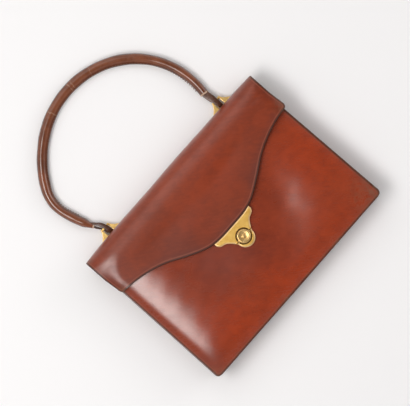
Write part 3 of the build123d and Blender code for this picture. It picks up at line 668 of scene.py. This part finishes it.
flank = smooth_through([(CLASP_HALF, CLASP_RISE + WING_CORNER)]
                       + [(s * CLASP_HALF, t * CLASP_RISE) for s, t in FLANK_SHARES]
                       + [(LOBE_R, -LOBE_SINK)], 40)
flank_y = [float(y) for _, y in flank]
split_x = float(np.interp(SPLIT, flank_y[::-1], [float(x) for x, _ in flank][::-1]))
wing_top = [(x, float(ogee_y(x)) - LOCK_Y - SPLIT) for x in np.linspace(CLASP_HALF, -CLASP_HALF, 40)]
right_flank = [(float(x), float(y)) for x, y in flank if y > SPLIT]
cut_angle = math.degrees(math.asin(SPLIT / WELL_R))
plate_line = ([(-x, y) for x, y in right_flank] + [(-split_x, SPLIT)]
              + arc(0, 0, WELL_R, 180 - cut_angle, cut_angle, 48)
              + [(split_x, SPLIT)] + right_flank[::-1] + wing_top)


def clasp_rim(line):
    """Width of the rounding at each point: broad outside, crisp round the well and along the split."""
    return [0.3 if math.hypot(x, y) < WELL_R + 0.2 or abs(y) < 2 * SPLIT else 1.8 for x, y in line]


clasp_plate = cast_plate("clasp_plate", [(x, y + LOCK_Y) for x, y in plate_line], CLASP_LOW, CLASP_TOP,
                         (clasp_rim(plate_line), 1.0), clasp_gold)
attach(clasp_plate, "flap")
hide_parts("flap_plate")
split_low = float(np.interp(-SPLIT, flank_y[::-1], [float(x) for x, _ in flank][::-1]))
low_flank = [(float(x), float(y)) for x, y in flank if y < -SPLIT]
lobe_line = ([(split_low, -SPLIT)] + arc(0, 0, WELL_R, -cut_angle, -180 + cut_angle, 48) + [(-split_low, -SPLIT)]
             + [(-x, y) for x, y in low_flank] + arc(0, -LOBE_SINK, LOBE_R, 180, 360, 60)[1:-1] + low_flank[::-1])
clasp_lobe = cast_plate("clasp_lobe", [(x, y + LOCK_Y) for x, y in lobe_line], FRONT_Z - 0.2, CLASP_TOP,
                        (clasp_rim(lobe_line), 1.0), clasp_gold)
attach(clasp_lobe, "bag")
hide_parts("lock_base")


def turned(name, profile, finish, centre=(0.0, 0.0), count=72):
    """A round piece turned from a half section of (radius, height) points, closed at both poles."""
    form = bmesh.new()
    rings = []
    for r, z in profile:
        if r < 1e-6:
            rings.append([form.verts.new((centre[0] * MM, centre[1] * MM, z * MM))])
        else:
            rings.append([form.verts.new(((centre[0] + r * math.cos(a)) * MM, (centre[1] + r * math.sin(a)) * MM,
                                          z * MM)) for a in np.linspace(0, 2 * math.pi, count, endpoint=False)])
    for near, far in zip(rings, rings[1:]):
        for i in range(count):
            j = (i + 1) % count
            quad = [near[i % len(near)], near[j % len(near)], far[j % len(far)], far[i % len(far)]]
            form.faces.new(list(dict.fromkeys(quad)))
    return finished(form, name, finish)


# The lock floor is painted near black, as the shade at the bottom of the narrow well round the knob.
well_shade_gold = gold_tone("well_shade_gold", (0.13, 0.075, 0.022), (0.22, 0.13, 0.04), 0.5)
well_floor = turned("lock_floor", [(0, 35.9), (9.9, 35.9), (10.0, 36.0), (10.0, 37.1), (9.9, 37.2), (0, 37.2)],
                    well_shade_gold, (0, LOCK_Y))
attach(well_floor, "bag")

# Knob: a turned brass disc with a shallow dish, a ring groove and a centre button, on a cross arm and a stem.
# It is brighter than the plate, because fingers keep it polished.
knob_gold = gold_tone("knob_gold", (0.68, 0.40, 0.13), (0.88, 0.59, 0.25), 0.27)
KNOB_LOW, KNOB_TOP = 39.1, 40.9
# Half sections as radius and height: the stem and the rim over the disc's underside, the dish under its top.
STEM_AND_RIM = ((0, -1.8), (2.45, -1.8), (2.5, -1.7), (2.5, -0.05), (2.6, 0), (7.3, 0), (7.45, 0.08), (7.5, 0.3))
DISH = ((7.5, -0.85), (7.35, -0.5), (6.95, -0.2), (6.4, -0.01), (6.1, 0), (5.2, -0.12), (4.2, -0.3),
        (3.3, -0.42), (3.1, -0.5), (2.95, -0.75), (2.6, -0.84), (2.3, -0.75), (2.15, -0.5),
        (1.9, -0.3), (1.3, -0.14), (0.6, -0.07), (0, -0.05))
knob_section = [(r, KNOB_LOW + z) for r, z in STEM_AND_RIM] + [(r, KNOB_TOP + z) for r, z in DISH]
knob = turned("knob_disc", knob_section, knob_gold, (0, LOCK_Y))
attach(knob, "knob")
arm_line = [(8.5, -1.5), (8.6, 0.0), (8.5, 1.5), (-8.5, 1.5), (-8.6, 0.0), (-8.5, -1.5)]
arm = cast_plate("knob_arm", [(x, y + LOCK_Y) for x, y in arm_line], 38.3, 39.12, (0.3, 0.2), knob_gold)
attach(arm, "knob")
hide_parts("lock_knob")

# Lock fittings inside the bag: backing plate, rivets and washer, plain brass and never polished.
# The bracket rivets and their backing blocks are of the same metal.
plain_brass = gold_tone("plain_brass", (0.36, 0.24, 0.10), (0.55, 0.39, 0.18), 0.42)
for name in ("lock_backing_plate", "lock_rivets", "knob_washer", "flap_plate_rivets", "bracket_rivets",
             "left_bracket_backing", "right_bracket_backing"):
    nodes[name].data.materials.clear()
    nodes[name].data.materials.append(plain_brass)

# Handle brackets: stamped gold-tone plates whose tangs go through the crown to rivets inside.
# Two posts carry a round bar over a long slot, in which the handle's strap turns.
bracket_gold = gold_tone("bracket_gold", (0.84, 0.53, 0.16), (0.97, 0.68, 0.25), 0.36)
BAR_Y, BAR_Z, BRACKET_X, LEFT_SHIFT = 102.3, 5.4, 88.6, -1.5
SHOULDER = soft_line([(5.7, 103.6), (6.3, 101.6), (8.4, 98.4), (11.8, 95.4), (15.5, 92.8)], 14, 3)
SLOT_HALF, SLOT_LOW, TANG_HALF, TANG_END, SEAT_Y = 4.2, 93.0, 10.0, 65.85, 88.2
half_line = ([(TANG_HALF, TANG_END), (TANG_HALF, SEAT_Y), (15.5, SEAT_Y)] + [tuple(p) for p in SHOULDER[::-1]]
             + [(SLOT_HALF, 103.6)] + arc(SLOT_HALF - 1.6, SLOT_LOW + 1.6, 1.6, 0, -90, 6))
bracket_line = half_line + [(-x, y) for x, y in reversed(half_line)]
for side_name, side in (("left", -1), ("right", 1)):
    middle = side * BRACKET_X + (LEFT_SHIFT if side < 0 else 0.0)
    bracket = cast_plate(side_name + "_bracket_plate", [(x + middle, y) for x, y in bracket_line],
                         BAR_Z - 0.8, BAR_Z + 0.8, (0.7, 0.5), bracket_gold)
    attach(bracket, "bag")
    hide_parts(side_name + "_bracket")
    bar_section = [(0, -5.6), (1.15, -5.6), (1.3, -5.45), (1.3, 5.45), (1.15, 5.6), (0, 5.6)]
    bar = turned(side_name + "_bracket_bar", bar_section, bracket_gold, count=24)
    across_slot = Matrix.Rotation(math.pi / 2, 4, "Y")
    bar.data.transform(Matrix.Translation((middle * MM, BAR_Y * MM, BAR_Z * MM)) @ across_slot)
    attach(bar, "bag")

# Handle grip: a strip of calf rolled round a cord and sewn along the inside of the arch.
# It is darker and duller than the body from handling; its raw ends show tan.
GRIP_R, GRIP_TAPER, HANDLE_RISE, HANDLE_START = 5.2, 13.0, 127.0, 114.0
HANDLE_SHARES = ((-1.091, 0.076), (-1.208, 0.34), (-1.138, 0.581), (-0.596, 0.913),
                 (0.474, 0.891), (0.944, 0.49), (0.967, 0.109))


def handle_line(count):
    """Evenly spaced points on the grip's centre line: arcs that run on from each other, left to right."""
    heading = np.array([math.cos(math.radians(HANDLE_START)), math.sin(math.radians(HANDLE_START))])
    places = [np.array((x * BRACKET_X, BAR_Y + y * HANDLE_RISE)) for x, y in HANDLE_SHARES]
    line = [places[0]]
    for near, far in zip(places, places[1:]):
        chord = far - near
        across = np.array([-heading[1], heading[0]])
        lean = chord @ across
        radius = (chord @ chord) / (2 * lean)
        centre = near + across * radius
        sweep = 2 * math.atan2(lean, chord @ heading)
        for share in np.linspace(0, 1, 60)[1:]:
            c, s = math.cos(sweep * share), math.sin(sweep * share)
            line.append(centre + np.array([[c, -s], [s, c]]) @ (near - centre))
        c, s = math.cos(sweep), math.sin(sweep)
        heading = np.array([[c, -s], [s, c]]) @ heading
    line = np.array(line)
    length = np.concatenate([[0], np.cumsum(np.linalg.norm(np.diff(line, axis=0), axis=1))])
    place = np.linspace(0, length[-1], count)
    return np.stack([np.interp(place, length, line[:, k]) for k in range(2)], axis=1), length[-1]


grip_line, grip_length = handle_line(240)
headings = unit(np.gradient(grip_line, axis=0))
inside = np.stack([headings[:, 1], -headings[:, 0]], axis=1)
grip_calf, grip_shader, grip_start = new_finish("grip_calf")
grip_where = grip_start.node("ShaderNodeTexCoord", None, None, 3)
grip_dye = noise(grip_start, grip_where, 55.0, 5.0, 0.65)
grip_rub = noise(grip_start, grip_where, 260.0, 4.0, 0.7)
seam_side = grip_start.node("ShaderNodeAttribute", {"attribute_name": "seam"}, None, 2)
grip_side_shade = grip_start.node("ShaderNodeAttribute", {"attribute_name": "flank"}, None, 2)
run = grip_start.node("ShaderNodeAttribute", {"attribute_name": "run"}, None, 2)
grip_colour = grip_dye.between(0.3, 0.7).tint((0.125, 0.036, 0.015), (0.235, 0.072, 0.032))
grip_colour = (grip_rub.between(0.55, 0.76) * 0.35).tint(grip_colour, (0.26, 0.125, 0.075))
# Painted shade: the grip's rounded sides, seen from above, darken towards deep brown.
grip_colour = (grip_side_shade.between(0.6, 1.0) * 0.6).tint(grip_colour, (0.045, 0.016, 0.010))
grip_colour = (seam_side.between(0.35, 0.9) * 0.55).tint(grip_colour, (0.06, 0.022, 0.012))
for crack_x, crack_width in ((-37.0, 0.9), (-4.0, 0.6), (1.5, 0.4), (24.0, 0.3)):
    on_arch = np.abs(grip_line[:, 0] - crack_x) + 9 * (grip_line[:, 1] < 200)
    crack_run = grip_length * float(np.argmin(on_arch)) / (len(grip_line) - 1)
    crack = ((run - crack_run) + (grip_rub - 0.5) * 5.0).maths("ABSOLUTE", 0).between(crack_width, 0.1)
    grip_colour = (crack * grip_dye.between(0.36, 0.56) * 0.75).tint(grip_colour, (0.36, 0.22, 0.14))
grip_shader.inputs["Coat Roughness"].default_value = 0.1
grip_shader.inputs["Coat IOR"].default_value = 1.6
grip_shader.inputs["Coat Weight"].default_value = 0.5
grip_links = grip_calf.node_tree.links
grip_links.new(grip_colour.socket, grip_shader.inputs["Base Color"])
grip_links.new((0.2 + (grip_rub - 0.5) * 0.16).socket, grip_shader.inputs["Roughness"])
grip_relief = grip_rub * 0.8 + noise(grip_start, grip_where, 900.0, 2.0) * 0.3
grip_bump = grip_start.node("ShaderNodeBump", None, {"Strength": 0.06, "Distance": 0.0004, "Height": grip_relief})
grip_links.new(grip_bump.socket, grip_shader.inputs["Normal"])
raw_tan = plain_leather("raw_tan", (0.40, 0.25, 0.16), (0.66, 0.48, 0.36), 0.8, 1600.0, 0.0004)

form = bmesh.new()
seam_layer = form.verts.layers.float.new("seam")
run_layer = form.verts.layers.float.new("run")
side_shade_layer = form.verts.layers.float.new("flank")
rings, around = [], np.linspace(0, 2 * math.pi, 40, endpoint=False)
for k, (point, side) in enumerate(zip(grip_line, inside)):
    share = k / (len(grip_line) - 1)
    full = float(ease(min(share, 1 - share) / 0.3))
    radius = GRIP_R * (0.87 + 0.13 * full) + 0.12 * math.sin(37 * share) + 0.08 * math.sin(91 * share + 1)
    taper = float(ease(share * grip_length / GRIP_TAPER))
    radius = radius * (0.5 + 0.5 * taper)
    ridge = (0.7 + 0.9 * full) * taper
    point = point - side * 0.5
    ring = []
    for a in around:
        ca, sa = math.cos(a), math.sin(a)
        crest = max(0.0, ca) ** 10
        reach = radius + ridge * crest
        flat = radius * (1 - 0.05 * (1 - abs(sa)))
        vert = form.verts.new(((point[0] + side[0] * ca * reach) * MM, (point[1] + side[1] * ca * reach) * MM,
                               (BAR_Z + sa * flat) * MM))
        vert[seam_layer] = crest
        vert[run_layer] = share * grip_length
        # How far round to the side each point lies, for the painted shade on the grip's sides.
        vert[side_shade_layer] = abs(ca)
        ring.append(vert)
    rings.append(ring)
for k, (near, far) in enumerate(zip(rings, rings[1:])):
    for i in range(len(around)):
        j = (i + 1) % len(around)
        face = form.faces.new((near[i], near[j], far[j], far[i]))
        face.material_index = int(k < 1 or k > len(rings) - 3)
for ring, ahead in ((rings[0], -1), (rings[-1], 1)):
    last = ring
    middle = sum((v.co for v in ring), Vector()) / len(ring)
    for shrink, inwards in ((0.96, 0.25), (0.80, 0.25), (0.66, -1.2), (0.4, -1.4)):
        heading = headings[0 if ahead < 0 else -1] * ahead * inwards * MM
        loop = [form.verts.new(middle + (v.co - middle) * shrink + Vector((heading[0], heading[1], 0))) for v in ring]
        for i in range(len(around)):
            j = (i + 1) % len(around)
            face = form.faces.new((last[i], last[j], loop[j], loop[i]))
            face.material_index = 1
        last = loop
    cap = form.faces.new(last)
    cap.material_index = 1
grip = finished(form, "handle_roll", grip_calf, raw_tan)
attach(grip, "handle")
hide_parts("handle_grip", "handle_core")
seam_reach = GRIP_R + 0.05
grip_seam = [[(p[0] + s[0] * seam_reach, p[1] + s[1] * seam_reach, BAR_Z + z) for p, s in
              list(zip(grip_line, inside))[14:-6]] for z in (2.1, -2.1)]
sew("grip_seam", grip_seam, "handle", "handle_leather", Pitch=0.0030, Stitch_length=0.0022, Thickness=0.0007)

# Straps: short strips of calf looped round the bracket bars, their ends tucked into the grip.
# The left one is twisted, so that both of its legs show; the right one lies flat.
strap_calf = plain_leather("strap_calf", (0.040, 0.014, 0.008), (0.135, 0.052, 0.028), 0.26, 420.0, 0.0003)
STRAP_THICK, STRAP_SIDES = 1.6, 20
# Each line gives x, y, z, half width and lean in degrees, from the grip round the bar and back to the grip.
STRAPS = {
    "left": [(-98.2, 114.5, 5.0, 1.5, 65), (-96.8, 109.5, 3.9, 1.8, 70), (-94.2, 105.5, 3.0, 2.0, 80),
             (-93.0, 102.3, 2.4, 2.0, 80), (-91.6, 98.2, 2.4, 2.3, 40), (-89.4, 95.2, 3.2, 2.7, 0),
             (-88.9, 94.3, 5.6, 2.7, 0), (-88.6, 96.0, 8.3, 2.6, 0), (-89.2, 102.3, 8.8, 2.5, 0),
             (-91.0, 108.2, 8.2, 2.2, 0), (-93.4, 111.6, 7.4, 1.5, 0), (-96.6, 116.0, 6.2, 1.2, 0)],
    "right": [(85.9, 119.5, 6.2, 3.0, 0), (86.2, 115.5, 7.6, 3.9, 0), (86.8, 108.0, 8.6, 3.9, -6),
              (87.9, 101.5, 8.9, 3.0, 0), (88.1, 96.0, 8.5, 2.8, 0), (88.2, 94.2, 5.6, 2.7, 0),
              (88.2, 95.6, 2.7, 2.7, 0), (88.2, 102.0, 2.1, 2.9, 0), (87.6, 109.0, 2.3, 3.5, 8),
              (86.6, 115.5, 3.4, 3.4, 0), (85.9, 119.5, 4.6, 2.8, 0)]}
for side_name, strap_line in STRAPS.items():
    form = bmesh.new()
    line = soft_line(strap_line, 64, 3)
    along = unit(np.gradient(line[:, :3], axis=0))
    rings = []
    for (x, y, z, half, lean), heading in zip(line, along):
        wide = unit(np.array([1.0, 0.0, 0.0]) - heading * heading[0])
        up = np.cross(wide, heading)
        c, s = math.cos(math.radians(lean)), math.sin(math.radians(lean))
        wide, up = wide * c + up * s, up * c - wide * s
        ring = []
        for a in np.linspace(0, 2 * math.pi, STRAP_SIDES, endpoint=False):
            ca, sa = math.cos(a), math.sin(a)
            out = math.copysign(abs(ca) ** 0.5, ca) * half
            rise = math.copysign(abs(sa) ** 0.8, sa) * STRAP_THICK / 2
            ring.append(form.verts.new((np.array([x, y, z]) + wide * out + up * rise) * MM))
        rings.append(ring)
    for near, far in zip(rings, rings[1:]):
        for i in range(STRAP_SIDES):
            j = (i + 1) % STRAP_SIDES
            form.faces.new((near[i], near[j], far[j], far[i]))
    form.faces.new(rings[0])
    form.faces.new(rings[-1])
    strap = finished(form, side_name + "_strap", strap_calf)
    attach(strap, "handle")
    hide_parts(side_name + "_handle_strap")

# Table, light and camera: a white table under a soft sky that brightens overhead, and three softboxes.
# The main one is high on the bag's left, one is beyond the crown, and a low one fills in from the right.
# The camera looks straight down, turned so that the bag lies askew in the picture.
floor_mesh = bpy.data.meshes.new("table")
floor_mesh.from_pydata([(-4, -4, 0), (4, -4, 0), (4, 4, 0), (-4, 4, 0)], [], [(0, 1, 2, 3)])
floor = bpy.data.objects.new("table", floor_mesh)
floor.location.z = -0.0004
bpy.context.scene.collection.objects.link(floor)
white, white_shader, white_start = new_finish("white_table")
white_where = white_start.node("ShaderNodeTexCoord", None, None, 3)
white_colour = noise(white_start, white_where, 3.0, 2.0).tint((0.91, 0.90, 0.91), (0.925, 0.915, 0.925))
white.node_tree.links.new(white_colour.socket, white_shader.inputs["Base Color"])
white_shader.inputs["Roughness"].default_value = 0.8
white_shader.inputs["Specular IOR Level"].default_value = 0.2
floor_mesh.materials.append(white)

world = bpy.data.worlds.new("studio")
bpy.context.scene.world = world
world.use_nodes = True
sky = Strand(world.node_tree)
backdrop = world.node_tree.nodes["Background"]
direction = sky.node("ShaderNodeTexCoord", None, None, 0)
height = sky.node("ShaderNodeSeparateXYZ", None, {0: direction}, 2)
shine = sky.node("ShaderNodeLightPath", None, None, 3)
ceiling = 0.7 - height.between(0.05, 0.9) * 0.67
overhead = 0.32 + height.between(0.3, 0.95) * 0.21
glow = (shine * ceiling + (1.0 - shine) * overhead).tint((0.0, 0.0, 0.0), (1.0, 0.995, 0.99))
world.node_tree.links.new(glow.socket, backdrop.inputs["Color"])


def softbox(name, place, aim, size, power):
    """A lamp behind cloth: bright in the middle and fading to its edges."""
    lamp = bpy.data.lights.new(name, "AREA")
    lamp.shape = "RECTANGLE"
    lamp.size, lamp.size_y = size
    lamp.energy = power
    lamp.color = (1.0, 0.985, 0.96)
    lamp.use_nodes = True
    cloth = Strand(lamp.node_tree)
    spot = cloth.node("ShaderNodeNewGeometry", None, None, 5)
    fade = 1.0
    for axis, full in ((0, 0.35), (1, 0.5)):
        place_on = cloth.node("ShaderNodeSeparateXYZ", None, {0: spot}, axis)
        fade = (0.5 - (place_on - 0.5).maths("ABSOLUTE", 0)).between(0.0, full) * fade
    glow_share = fade.tint((0.0, 0.0, 0.0), (1.0, 1.0, 1.0))
    lamp.node_tree.links.new(glow_share.socket, lamp.node_tree.nodes["Emission"].inputs["Color"])
    box = bpy.data.objects.new(name, lamp)
    box.location = place
    box.rotation_euler = (Vector(aim) - Vector(place)).to_track_quat("-Z", "Y").to_euler()
    bpy.context.scene.collection.objects.link(box)


softbox("main_softbox", (-0.714, 0.312, 1.545), (0.0, 0.02, 0.03), (1.55, 1.1), 45.0)
softbox("far_softbox", (0.10, 1.10, 1.30), (0.0, 0.05, 0.03), (2.2, 2.2), 15.0)
softbox("fill_softbox", (1.40, -0.55, 0.80), (0.0, 0.02, 0.03), (1.4, 1.2), 15.0)

scene = bpy.context.scene
scene.view_settings.view_transform = "Standard"
lens = bpy.data.cameras.new("overhead")
camera = bpy.data.objects.new("overhead", lens)
scene.collection.objects.link(camera)
VIEW_HEIGHT, VIEW_WIDTH, VIEW_TURN, SENSOR = 9.0, 0.4334, -48.79, 36.0
lens.sensor_width = SENSOR
lens.lens = SENSOR * VIEW_HEIGHT / VIEW_WIDTH
lens.clip_end = 20.0
camera.location = (-0.0008, 0.0396, VIEW_HEIGHT + FRONT_Z * MM)
camera.rotation_euler = (0.0, 0.0, math.radians(VIEW_TURN))
scene.camera = camera
